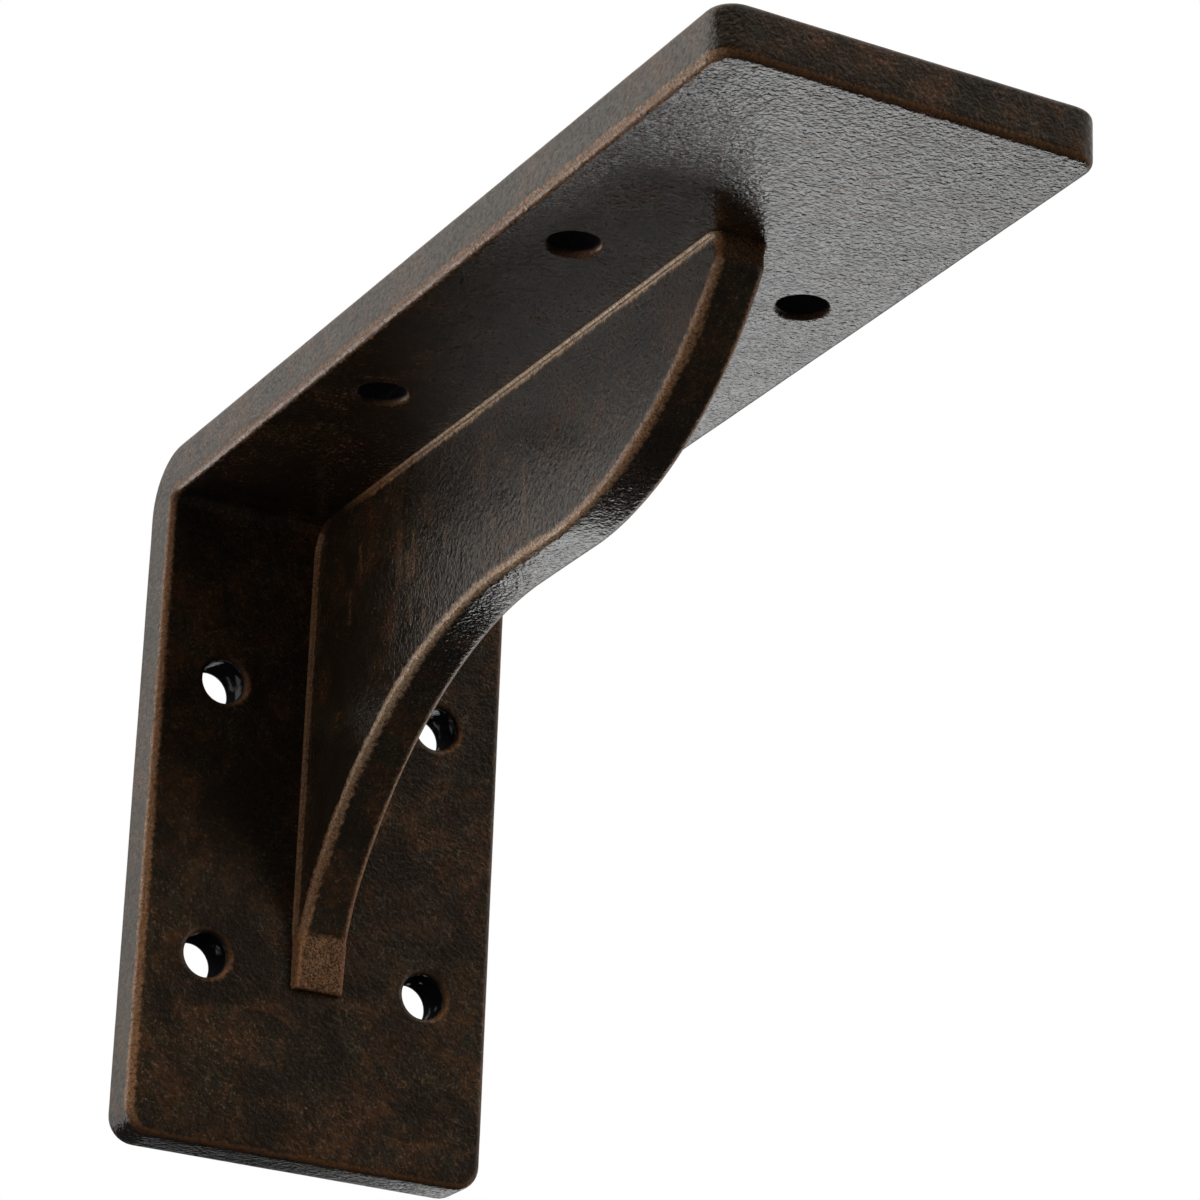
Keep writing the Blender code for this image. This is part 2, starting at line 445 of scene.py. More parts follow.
@dataclass
class PlateMesh:
    """Points and faces of a plate, with the values that its finish reads at each point."""

    points: np.ndarray
    faces: list[tuple[int, ...]]
    values: dict[str, np.ndarray]

    def add_marks(self, marks: tuple[RubMark, ...]) -> None:
        """Rub the coat thin along strokes on the face that lies at height 0.

        Args:
            marks: The strokes.
        """
        near = np.flatnonzero(self.points[:, 2] < NEAR_FACE_DEPTH)
        for mark in marks:
            rubbed = mark.at(self.points[near, :2])
            self.values[RUB][near] = np.maximum(self.values[RUB][near], rubbed)
            self.values[BARE][near[rubbed > 0.0]] = MARK_BARE

    def to_object(self, name: str) -> bpy.types.Object:
        """Make an object of the plate.

        Args:
            name: The object's name.

        Returns:
            The new object, in the scene.
        """
        data = bpy.data.meshes.new(name)
        data.from_pydata(self.points.tolist(), [], self.faces)
        for label, values in self.values.items():
            data.attributes.new(label, "FLOAT", "POINT").data.foreach_set("value", values.astype(np.float32))
        data.update()
        thing = bpy.data.objects.new(name, data)
        bpy.context.scene.collection.objects.link(thing)
        return thing


def nearest_on_loop(points: np.ndarray, loop: np.ndarray) -> tuple[np.ndarray, np.ndarray]:
    """Measure how far points are from a closed line.

    Args:
        points: Points in a plane, one a row.
        loop: Corners of the closed line.

    Returns:
        For each point its distance, and the number of the corner where the nearest side starts.
    """
    start = loop
    run = np.roll(loop, -1, axis=0) - loop
    length = np.maximum((run ** 2).sum(1), 1e-18)
    gaps, sides = np.empty(len(points)), np.empty(len(points), int)
    block = 2000
    for first in range(0, len(points), block):
        away = points[first:first + block, None, :] - start[None]
        share = np.clip((away * run[None]).sum(2) / length, 0.0, 1.0)
        off = ((away - share[..., None] * run[None]) ** 2).sum(2)
        sides[first:first + block] = off.argmin(1)
        gaps[first:first + block] = np.sqrt(off.min(1))
    return gaps, sides


def inside_loop(points: np.ndarray, loop: np.ndarray) -> np.ndarray:
    """Which points lie inside a closed line.

    Args:
        points: Points in a plane, one a row.
        loop: Corners of the closed line.

    Returns:
        True for each point inside.
    """
    inside = np.zeros(len(points), bool)
    for start, end in zip(loop, np.roll(loop, -1, axis=0)):
        crosses = (start[1] > points[:, 1]) != (end[1] > points[:, 1])
        rise = end[1] - start[1] if end[1] != start[1] else 1.0
        at = start[0] + (points[:, 1] - start[1]) / rise * (end[0] - start[0])
        inside ^= crosses & (points[:, 0] < at)
    return inside


@dataclass
class EasedPlate:
    """A flat plate with a rim that is eased or beaded, and openings whose lining is made elsewhere."""

    outline: np.ndarray
    ease: np.ndarray
    bead: np.ndarray
    rub: np.ndarray
    wear: np.ndarray
    bare: np.ndarray
    thickness: float
    cell: float
    openings: list[np.ndarray] = field(default_factory=list)
    opening_gap: float = 0.0
    opening_wear_and_highlight: np.ndarray | None = None
    far_share: float = 0.3
    margin: float = 0.25
    fold_limit: float = 0.97
    edge_clearance: float = 0.6

    def inward(self) -> np.ndarray:
        """Find how to move the anticlockwise outline inwards.

        Returns:
            A vector for each corner that moves both of its sides in by 1.
        """
        side = np.roll(self.outline, -1, axis=0) - self.outline
        side /= np.linalg.norm(side, axis=1)[:, None]
        normal = np.stack([-side[:, 1], side[:, 0]], 1)
        before = np.roll(normal, 1, axis=0)
        return (normal + before) / (1.0 + (normal * before).sum(1))[:, None]

    def thin_corners(self) -> None:
        """Drop outline points so near a sharp corner that the rim would fold back on itself there."""
        inset = (1.0 + self.margin) * (self.ease + self.bead)
        moved = self.outline + self.inward() * inset[:, None]
        kept = nearest_on_loop(moved, self.outline)[0] > self.fold_limit * inset
        self.outline, self.ease, self.bead, self.rub, self.wear, self.bare = (
            values[kept] for values in (self.outline, self.ease, self.bead, self.rub, self.wear, self.bare))

    def rim_profile(self) -> list[tuple[np.ndarray, np.ndarray, np.ndarray]]:
        """Follow the rim from the face outwards.

        Returns:
            For each step its inset, its rise from the face, and its gap to the rim's middle.
        """
        whole = self.ease + self.bead
        steps = [((1.0 + self.margin) * whole, np.zeros(len(whole)), (self.margin + RIM_MIDDLE) * whole)]
        for step in range(RIM_STEPS + 1):
            turn = math.pi / 2 * step / RIM_STEPS
            inset = self.ease * (1.0 - math.sin(turn)) + self.bead * math.cos(turn)
            rise = self.ease * (1.0 - math.cos(turn)) - self.bead * math.sin(turn)
            steps.append((inset, rise, whole * abs(turn - RIM_MIDDLE)))
        return steps

    def rings(self) -> list[tuple[np.ndarray, np.ndarray]]:
        """Lay rings of points round the plate, from one face to the other.

        Returns:
            The rings, each with its points' gaps to the nearer rim.
        """
        inward = self.inward()
        near, far = [], []
        for inset, rise, gap in self.rim_profile():
            flat = self.outline + inward * inset[:, None]
            near.append((np.column_stack([flat, rise]), gap))
            far.append((np.column_stack([flat, self.thickness - rise]), gap))
        wall = []
        low = self.ease - self.bead
        for step in range(1, WALL_STEPS):
            share = step / WALL_STEPS
            height = low + (self.thickness - 2 * low) * share
            gap = (self.ease + self.bead) * RIM_MIDDLE + (self.thickness - 2 * low) * min(share, 1 - share)
            wall.append((np.column_stack([self.outline, height]), gap))
        return near + wall + far[::-1]

    def lattice(self, loop: np.ndarray) -> np.ndarray:
        """Spread points evenly over the face, clear of its edges.

        Args:
            loop: Where the face meets the rim.

        Returns:
            The points.
        """
        low, high = loop.min(0), loop.max(0)
        pitch = self.cell * math.sqrt(3) / 2
        rows = []
        for row, height in enumerate(np.arange(low[1] + pitch / 2, high[1], pitch)):
            across = np.arange(low[0] + self.cell * (0.25 + 0.5 * (row % 2)), high[0], self.cell)
            rows.append(np.column_stack([across, np.full(len(across), height)]))
        points = np.concatenate(rows)
        points = points[inside_loop(points, loop)]
        for edge in [loop, *self.openings]:
            points = points[nearest_on_loop(points, edge)[0] > self.edge_clearance * self.cell]
        for opening in self.openings:
            points = points[~inside_loop(points, opening)]
        return points

    def fill(self, loop: np.ndarray, filling: np.ndarray) -> list[list[int]]:
        """Join a face's points up to triangles that leave the openings free.

        Args:
            loop: Where the face meets the rim.
            filling: Corners of the openings, then the points between.

        Returns:
            The triangles, as numbers of points in the loop and then in the filling.
        """
        flat = np.concatenate([loop, filling])
        edges, first = [], 0
        for line in [loop, *self.openings]:
            edges += [(first + step, first + (step + 1) % len(line)) for step in range(len(line))]
            first += len(line)
        found = delaunay_2d_cdt([Vector(p) for p in flat / MM], edges, [], 2, 1e-6)
        order = [origins[0] for origins in found[3]]
        owner = np.zeros(len(flat), int)
        first = len(loop)
        for number, opening in enumerate(self.openings, start=1):
            owner[first:first + len(opening)] = number
            first += len(opening)
        triangles = [[order[index] for index in face] for face in found[2]]
        return [face for face in triangles if owner[face].min() != owner[face].max() or owner[face[0]] == 0]

    def face_looks(self, loop: np.ndarray, filling: np.ndarray) -> tuple[np.ndarray, np.ndarray, np.ndarray]:
        """Give a face's points the looks of the rim that is nearest.

        Args:
            loop: Where the face meets the rim.
            filling: Corners of the openings, then the points between.

        Returns:
            For each point of the filling its gap to that rim's middle, its wear and how bare it is.
        """
        gap, side = nearest_on_loop(filling, loop)
        gap += (self.margin + RIM_MIDDLE) * (self.ease + self.bead)[side]
        wear, bare = self.wear[side], self.bare[side]
        for opening in self.openings:
            opening_gap, side = nearest_on_loop(filling, opening)
            opening_gap += self.opening_gap
            nearer = opening_gap < gap
            gap[nearer] = opening_gap[nearer]
            wear[nearer], bare[nearer] = self.opening_wear_and_highlight[side[nearer]], 0.0
        return gap, wear, bare

    def build(self) -> PlateMesh:
        """Mesh the plate: its rim, and both faces as even triangles.

        Returns:
            The plate, closed but for its openings.
        """
        self.thin_corners()
        rings = self.rings()
        count = len(self.outline)
        points = [place for place, _ in rings]
        gaps = [gap for _, gap in rings]
        rubs = [self.rub * (1.0 if 0 < index < len(rings) - 1 else 0.0) for index in range(len(rings))]
        wall_ends = (RIM_STEPS + 1, RIM_STEPS + 1 + WALL_STEPS)
        levels = np.interp(np.arange(len(rings)), wall_ends, (1.0, self.far_share))
        wears = [self.wear * level for level in levels]
        bares = [self.bare * level for level in levels]
        faces = []
        for index in range(len(rings) - 1):
            for side in range(count):
                after = (side + 1) % count
                base = index * count
                faces.append((base + side, base + after, base + count + after, base + count + side))
        loop = rings[0][0][:, :2]
        filling = np.concatenate([*self.openings, self.lattice(loop)])
        kept = self.fill(loop, filling)
        gap, wear, bare = self.face_looks(loop, filling)
        total = len(rings) * count
        for height, base_ring, level in ((0.0, 0, 1.0), (self.thickness, len(rings) - 1, self.far_share)):
            where = np.concatenate([np.arange(count) + base_ring * count, total + np.arange(len(filling))])
            for face in kept:
                corners = [int(where[index]) for index in face]
                faces.append(tuple(reversed(corners)) if base_ring == 0 else tuple(corners))
            points.append(np.column_stack([filling, np.full(len(filling), height)]))
            gaps.append(gap)
            wears.append(wear * level)
            bares.append(bare * level)
            rubs.append(np.zeros(len(filling)))
            total += len(filling)
        values = {RIM_GAP: np.concatenate(gaps) / MM, RUB: np.concatenate(rubs),
                  WEAR: np.concatenate(wears), BARE: np.concatenate(bares)}
        return PlateMesh(np.concatenate(points), faces, values)


def straight(start: tuple[float, float], end: tuple[float, float], cell: float) -> list[tuple[float, float]]:
    """Points from the start up to, but not at, the end.

    Args:
        start: The first point.
        end: The point after the last.
        cell: The spacing to aim for.

    Returns:
        The points.
    """
    steps = max(1, round(math.dist(start, end) / cell))
    return [(start[0] + (end[0] - start[0]) * k / steps, start[1] + (end[1] - start[1]) * k / steps)
            for k in range(steps)]


def arc(centre: tuple[float, float], radius: float, start: float, end: float,
        cell: float) -> list[tuple[float, float]]:
    """Points of an arc up to, but not at, its end.

    Args:
        centre: The arc's centre.
        radius: Its radius.
        start: The angle it starts at, in degrees.
        end: The angle it ends at, in degrees.
        cell: The spacing to aim for.

    Returns:
        The points.
    """
    steps = max(CORNER_STEPS, round(radius * abs(math.radians(end - start)) / cell))
    turns = [math.radians(start + (end - start) * k / steps) for k in range(steps)]
    return [(centre[0] + radius * math.cos(turn), centre[1] + radius * math.sin(turn)) for turn in turns]


@dataclass(frozen=True)
class CoatRelief:
    """Slight unevenness of the coated surface, as real depth."""

    ripple_size: float = 9.0 * MM
    ripple_depth: float = 0.05 * MM
    peel_size: float = 2.6 * MM
    peel_depth: float = 0.03 * MM
    seed: float = 3.0

    def add_inputs(self, tree: bpy.types.NodeTree) -> dict[str, float]:
        """Give a tree the relief's inputs.

        Args:
            tree: The geometry tree.

        Returns:
            What each input is to be set to, by its identifier.
        """
        values = {"Ripple Size": self.ripple_size, "Ripple Depth": self.ripple_depth,
                  "Peel Size": self.peel_size, "Peel Depth": self.peel_depth, "Seed": self.seed}
        return {add_input(tree, name, "NodeSocketFloat"): value for name, value in values.items()}

    def sink(self, sheet: NodeSheet, inputs: bpy.types.Node, shape: Socket) -> Socket:
        """Let the surface down by the relief, never up.

        Args:
            sheet: The tree's sheet.
            inputs: The tree's input node.
            shape: The geometry's socket.

        Returns:
            The sunk geometry's socket.
        """
        here = sheet.add("GeometryNodeInputPosition").outputs[0]
        shift = sheet.add("ShaderNodeCombineXYZ", {axis: inputs.outputs["Seed"] for axis in "XYZ"}).outputs[0]
        moved = sheet.vector("ADD", here, shift)
        depths = []
        for name in ("Ripple", "Peel"):
            scale = sheet.math("DIVIDE", 1.0, inputs.outputs[f"{name} Size"])
            cloud = sheet.noise(moved, scale, detail=1.0)
            depths.append(sheet.math("MULTIPLY", cloud, inputs.outputs[f"{name} Depth"]))
        depth = sheet.math("MULTIPLY", sheet.math("ADD", *depths), -1.0)
        normal = sheet.add("GeometryNodeInputNormal").outputs[0]
        offset = sheet.stretch(normal, depth)
        return sheet.add("GeometryNodeSetPosition", {"Geometry": shape, "Offset": offset}).outputs[0]


def add_input(tree: bpy.types.NodeTree, name: str, kind: str) -> str:
    """Give a geometry tree a named input.

    Args:
        tree: The tree.
        name: The input's name.
        kind: The socket's type name.

    Returns:
        The socket's identifier.
    """
    return tree.interface.new_socket(name=name, in_out="INPUT", socket_type=kind).identifier


def shape_tree(name: str) -> tuple[bpy.types.NodeTree, str]:
    """Start a geometry tree that takes a shape and a finish.

    Args:
        name: The tree's name.

    Returns:
        The tree, and the identifier of its finish input.
    """
    tree = bpy.data.node_groups.new(name, "GeometryNodeTree")
    add_input(tree, "Geometry", "NodeSocketGeometry")
    tree.interface.new_socket(name="Geometry", in_out="OUTPUT", socket_type="NodeSocketGeometry")
    return tree, add_input(tree, "Finish", "NodeSocketMaterial")


def close_tree(sheet: NodeSheet, inputs: bpy.types.Node, shape: Socket) -> None:
    """End a tree in smooth shading, real geometry and the finish.

    Args:
        sheet: The tree's sheet.
        inputs: The tree's input node.
        shape: The geometry's socket.
    """
    smooth = sheet.add("GeometryNodeSetShadeSmooth", {"Geometry": shape}).outputs[0]
    real = sheet.add("GeometryNodeRealizeInstances", {"Geometry": smooth}).outputs[0]
    coated = sheet.add("GeometryNodeSetMaterial", {"Geometry": real, "Material": inputs.outputs["Finish"]})
    sheet.add("NodeGroupOutput", {0: coated.outputs[0]})


def set_in_mesh(thing: bpy.types.Object, tree: bpy.types.NodeTree, values: dict[str, object]) -> None:
    """Run a tree on an object and keep the result as its plain mesh.

    Args:
        thing: The object.
        tree: The geometry tree.
        values: What its inputs are set to, by identifier.
    """
    modifier = thing.modifiers.new(tree.name, "NODES")
    modifier.node_group = tree
    for identifier, value in values.items():
        modifier[identifier] = value
    graph = bpy.context.evaluated_depsgraph_get()
    made = bpy.data.meshes.new_from_object(thing.evaluated_get(graph))
    thing.modifiers.remove(modifier)
    plain = thing.data
    thing.data = made
    bpy.data.meshes.remove(plain)
    made.name = thing.name


def report(thing: bpy.types.Object) -> None:
    """Log a piece's size, and whether its surface is closed.

    Args:
        thing: The piece.
    """
    data = thing.data
    counts = np.zeros(len(data.edges), int)
    edges = np.empty(len(data.loops), int)
    data.loops.foreach_get("edge_index", edges)
    np.add.at(counts, edges, 1)
    triangles = sum(len(face.vertices) - 2 for face in data.polygons)
    LOG.info("%s: %d triangles, %d edges not closed", thing.name, triangles, int((counts != 2).sum()))


@dataclass
class BentBar:
    """The flat bar, punched flat and then bent once round a small radius."""

    width: float
    reach: float
    top: float
    foot: float
    finish: BronzeCoat
    relief: CoatRelief = CoatRelief()
    stock: float = 6.9 * MM
    bend_inside: float = 1.5 * MM
    end_corner: float = 3.6 * MM
    edge_round: float = 1.0 * MM
    hole_radius: float = 3.0 * MM
    hole_ease: float = 0.8 * MM
    hole_offset: float = 15.875 * MM
    leg_holes_below_top: tuple[float, float] = (31.75 * MM, 69.85 * MM)
    arm_holes_from_wall: tuple[float, float] = (50.8 * MM, 101.6 * MM)
    hole_margin: float = 0.3
    hole_sides: int = 48
    weld_distance: float = 0.002 * MM
    left_wear: tuple[float, float, float] = (0.95, 0.60, 0.95)
    left_bare: tuple[float, float, float] = (0.35, 0.05, 0.20)
    right_wear: float = 0.15
    end_wear: float = 0.28
    # Copper round the holes: light wear all round, raised on the +X side as a painted highlight where each rim
    # faces the light
    hole_wear_and_highlight: tuple[float, float] = (0.10, 0.65)
    hole_highlight_turn: float = 25.0
    far_share: float = 0.3
    cell: float = 0.75 * MM
    marks: tuple[RubMark, ...] = (
        RubMark((5.8 * MM, 27.5 * MM), (12.0 * MM, 24.7 * MM), 0.7 * MM, 0.7),
        RubMark((3.0 * MM, 16.4 * MM), (6.2 * MM, 14.3 * MM), 0.9 * MM, 0.45),
        RubMark((5.3 * MM, 18.4 * MM), (8.3 * MM, 17.1 * MM), 1.2 * MM, 0.4),
        RubMark((-6.3 * MM, 13.6 * MM), (-5.4 * MM, 13.0 * MM), 0.8 * MM, 0.5),
        RubMark((2.2 * MM, 21.7 * MM), (4.2 * MM, 21.0 * MM), 0.8 * MM, 0.4),
    )

    @property
    def outside(self) -> float:
        """Outer radius of the bend."""
        return self.bend_inside + self.stock

    @property
    def fold_length(self) -> float:
        """Length of the flat bar that the bend takes up."""
        return math.pi / 2 * (self.bend_inside + self.stock / 2)

    @property
    def fold_start(self) -> float:
        """Where the bend starts, from the arm's tip."""
        return self.reach - self.outside

    @property
    def flat_length(self) -> float:
        """Length of the bar before it is bent."""
        return self.fold_start + self.fold_length + self.top - self.foot - self.outside

    def leg_place(self, below_top: float) -> float:
        """Place along the flat bar of a point on the leg."""
        return self.fold_start + self.fold_length + below_top - self.outside

    def hole_rows(self) -> list[tuple[float, float]]:
        """Place the rows of screw holes along the flat bar.

        Returns:
            Middle and pitch of the holes in the arm, and in the leg.
        """
        arm = [self.reach - depth for depth in self.arm_holes_from_wall]
        leg = [self.leg_place(drop) for drop in self.leg_holes_below_top]
        return [(sum(pair) / 2, abs(pair[1] - pair[0])) for pair in (arm, leg)]

    def opening_radius(self) -> float:
        """Radius at which a hole's lining meets the bar's faces."""
        return self.hole_radius + (1.0 + self.hole_margin) * self.hole_ease

    def opening(self, across: float, along: float) -> np.ndarray:
        """Outline one round opening in the faces of the flat bar.

        Args:
            across: The opening's place across the bar.
            along: Its place along the bar.

        Returns:
            Corners of the opening.
        """
        turns = np.arange(self.hole_sides) * math.tau / self.hole_sides
        radius = self.opening_radius()
        return np.column_stack([across + radius * np.cos(turns), along + radius * np.sin(turns)])

    def flat_outline(self) -> np.ndarray:
        """Outline the flat bar, anticlockwise and with rounded corners.

        Returns:
            Points of the outline.
        """
        half, long, corner, cell = self.width / 2, self.flat_length, self.end_corner, self.cell
        points = straight((-half + corner, 0.0), (half - corner, 0.0), cell)
        points += arc((half - corner, corner), corner, -90, 0, cell)
        points += straight((half, corner), (half, long - corner), cell)
        points += arc((half - corner, long - corner), corner, 0, 90, cell)
        points += straight((half - corner, long), (-half + corner, long), cell)
        points += arc((-half + corner, long - corner), corner, 90, 180, cell)
        points += straight((-half, long - corner), (-half, corner), cell)
        points += arc((-half + corner, corner), corner, 180, 270, cell)
        return np.array(points)

    def opening_wear_and_highlight(self) -> np.ndarray:
        """Share out the wear round a screw hole's rim, with a painted highlight on the side that faces the
        light.

        Returns:
            At each corner of the opening, light wear all round plus a painted highlight, strongest on its
            right.
        """
        turns = np.arange(self.hole_sides) * math.tau / self.hole_sides - math.radians(self.hole_highlight_turn)
        low, high = self.hole_wear_and_highlight
        return low + (high - low) * np.maximum(np.cos(turns), 0.0) ** 2

    def flat_bar(self) -> bpy.types.Object:
        """Make the bar before it is bent, with open holes.

        Returns:
            The flat bar.
        """
        outline = self.flat_outline()
        openings = []
        for middle, pitch in self.hole_rows():
            for across in (-self.hole_offset, self.hole_offset):
                for along in (middle - pitch / 2, middle + pitch / 2):
                    openings.append(self.opening(across, along))
        gap = self.hole_ease * (self.hole_margin + RIM_MIDDLE)
        none = np.zeros(len(outline))
        out = np.roll(outline, -1, axis=0) - np.roll(outline, 1, axis=0)
        out /= np.linalg.norm(out, axis=1)[:, None]
        left, right = (np.maximum(side * out[:, 1], 0.0) ** 2 for side in (-1, 1))
        stations = (0.0, self.fold_start, self.flat_length)
        wear = np.interp(outline[:, 1], stations, self.left_wear) * left
        wear += self.right_wear * right + self.end_wear * out[:, 0] ** 2
        bare = np.interp(outline[:, 1], stations, self.left_bare) * left
        plate = EasedPlate(outline, none + self.edge_round, none, none, wear, bare, self.stock,
                           self.cell, openings, gap, self.opening_wear_and_highlight(), self.far_share)
        bar = plate.build()
        bar.add_marks(self.marks)
        return bar.to_object("bent_bar_finished")

    def hole_lining(self) -> bpy.types.Object:
        """Make the wall of one screw hole, from face to face, with both rims eased.

        Returns:
            The lining, to be set into each hole.
        """
        ease, depth = self.hole_ease, self.stock - 2 * self.hole_ease
        lower = [(self.opening_radius(), 0.0, ease * (self.hole_margin + RIM_MIDDLE), 0.0)]
        for step in range(RIM_STEPS + 1):
            turn = math.pi / 2 * step / RIM_STEPS
            radius = self.hole_radius + ease * (1.0 - math.sin(turn))
            height = ease * (1.0 - math.cos(turn))
            lower.append((radius, height, ease * abs(turn - RIM_MIDDLE), step / RIM_STEPS))
        bore = []
        for step in range(1, WALL_STEPS):
            share = step / WALL_STEPS
            gap = ease * RIM_MIDDLE + depth * min(share, 1 - share)
            bore.append((self.hole_radius, ease + depth * share, gap, 1.0))
        upper = [(radius, self.stock - height, gap, bore_shade) for radius, height, gap, bore_shade in reversed(lower)]
        rings = lower + bore + upper
        sides = self.hole_sides
        turns = np.arange(sides) * math.tau / sides
        points = [np.column_stack([radius * np.cos(turns), radius * np.sin(turns), np.full(sides, height)])
                  for radius, height, _, _ in rings]
        heights = [height for _, height, _, _ in rings]
        levels = np.interp(heights, (ease, self.stock - ease), (1.0, self.far_share))
        values = {RIM_GAP: np.repeat([gap / MM for _, _, gap, _ in rings], sides),
                  # BORE carries the painted shade of the hole: 0 on the face, rising through the rim ease, 1
                  # down the bore
                  BORE: np.repeat([bore_shade ** 2 for *_, bore_shade in rings], sides),
                  WEAR: np.concatenate([self.opening_wear_and_highlight() * level for level in levels])}
        faces = []
        for ring in range(len(rings) - 1):
            for side in range(sides):
                here, there = ring * sides + side, ring * sides + (side + 1) % sides
                faces.append((here + sides, there + sides, there, here))
        return PlateMesh(np.concatenate(points), faces, values).to_object("hole_lining")

    def line_holes(self, sheet: NodeSheet, inputs: bpy.types.Node) -> Socket:
        """Set a lining into each of the holes, and weld it to the bar's faces.

        Args:
            sheet: The tree's sheet.
            inputs: The tree's input node.

        Returns:
            The socket of the bar with lined holes.
        """
        points = []
        for row in ("Arm", "Leg"):
            size = {"Size X": inputs.outputs["Hole Spread"], "Size Y": inputs.outputs[f"{row} Hole Pitch"],
                    "Vertices X": 2, "Vertices Y": 2}
            corners = sheet.add("GeometryNodeMeshGrid", size).outputs["Mesh"]
            middle = sheet.add("ShaderNodeCombineXYZ", {"Y": inputs.outputs[f"{row} Hole Middle"]}).outputs[0]
            moved = sheet.add("GeometryNodeTransform", {"Geometry": corners, "Translation": middle})
            points.append(moved.outputs[0])
        joined = sheet.add("GeometryNodeJoinGeometry")
        for shape in points:
            sheet.put(joined.inputs[0], shape)
        lining = sheet.add("GeometryNodeObjectInfo", {"Object": inputs.outputs["Hole Lining"]})
        places = {"Points": joined.outputs[0], "Instance": lining.outputs["Geometry"]}
        set_in = sheet.add("GeometryNodeInstanceOnPoints", places)
        real = sheet.add("GeometryNodeRealizeInstances", {"Geometry": set_in.outputs[0]}).outputs[0]
        whole = sheet.add("GeometryNodeJoinGeometry")
        for shape in (inputs.outputs["Geometry"], real):
            sheet.put(whole.inputs[0], shape)
        weld = {"Geometry": whole.outputs[0], "Distance": inputs.outputs["Weld Distance"]}
        return sheet.add("GeometryNodeMergeByDistance", weld).outputs[0]

    def fold(self, sheet: NodeSheet, inputs: bpy.types.Node, shape: Socket) -> Socket:
        """Bend the flat bar: the arm stays level, the rest turns down round the inside radius.

        Args:
            sheet: The tree's sheet.
            inputs: The tree's input node.
            shape: The flat bar's socket.

        Returns:
            The bent bar's socket.
        """
        here = sheet.add("ShaderNodeSeparateXYZ", {0: sheet.add("GeometryNodeInputPosition").outputs[0]})
        past = sheet.math("SUBTRACT", here.outputs["Y"], inputs.outputs["Fold Start"])
        share = sheet.math("DIVIDE", past, inputs.outputs["Fold Length"])
        clamped = sheet.add("ShaderNodeClamp", {"Value": share}).outputs[0]
        turn = sheet.math("MULTIPLY", clamped, math.pi / 2)
        radius = sheet.math("ADD", inputs.outputs["Inside Radius"], here.outputs["Z"])
        before = sheet.math("MINIMUM", past, 0.0)
        after = sheet.math("MAXIMUM", sheet.math("SUBTRACT", past, inputs.outputs["Fold Length"]), 0.0)
        forward = sheet.math("ADD", sheet.math("MULTIPLY", radius, sheet.math("SINE", turn)), before)
        upward = sheet.math("SUBTRACT", sheet.math("MULTIPLY", radius, sheet.math("COSINE", turn)), after)
        bent = sheet.add("ShaderNodeCombineXYZ", {"X": here.outputs["X"], "Y": forward, "Z": upward})
        placed = sheet.vector("ADD", bent.outputs[0], inputs.outputs["Fold Centre"])
        return sheet.add("GeometryNodeSetPosition", {"Geometry": shape, "Position": placed}).outputs[0]

    def build(self) -> bpy.types.Object:
        """Make the bar: flat, lined holes, bend, relief and finish.

        Returns:
            The finished bar.
        """
        bar = self.flat_bar()
        lining = self.hole_lining()
        tree, finish = shape_tree("punch_and_bend")
        (arm_middle, arm_pitch), (leg_middle, leg_pitch) = self.hole_rows()
        values = {
            finish: self.finish.build(),
            add_input(tree, "Hole Lining", "NodeSocketObject"): lining,
            add_input(tree, "Hole Spread", "NodeSocketFloat"): 2 * self.hole_offset,
            add_input(tree, "Arm Hole Middle", "NodeSocketFloat"): arm_middle,
            add_input(tree, "Arm Hole Pitch", "NodeSocketFloat"): arm_pitch,
            add_input(tree, "Leg Hole Middle", "NodeSocketFloat"): leg_middle,
            add_input(tree, "Leg Hole Pitch", "NodeSocketFloat"): leg_pitch,
            add_input(tree, "Weld Distance", "NodeSocketFloat"): self.weld_distance,
            add_input(tree, "Fold Start", "NodeSocketFloat"): self.fold_start,
            add_input(tree, "Fold Length", "NodeSocketFloat"): self.fold_length,
            add_input(tree, "Inside Radius", "NodeSocketFloat"): self.bend_inside,
            add_input(tree, "Fold Centre", "NodeSocketVector"): (0.0, -self.outside, self.top - self.outside),
            **self.relief.add_inputs(tree),
        }
        sheet = NodeSheet(tree)
        inputs = sheet.add("NodeGroupInput")
        lined = self.line_holes(sheet, inputs)
        bent = self.fold(sheet, inputs, lined)
        close_tree(sheet, inputs, self.relief.sink(sheet, inputs, bent))
        set_in_mesh(bar, tree, values)
        bpy.data.objects.remove(lining, do_unlink=True)
        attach(bar, "root")
        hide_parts("bent_bar")
        report(bar)
        return bar


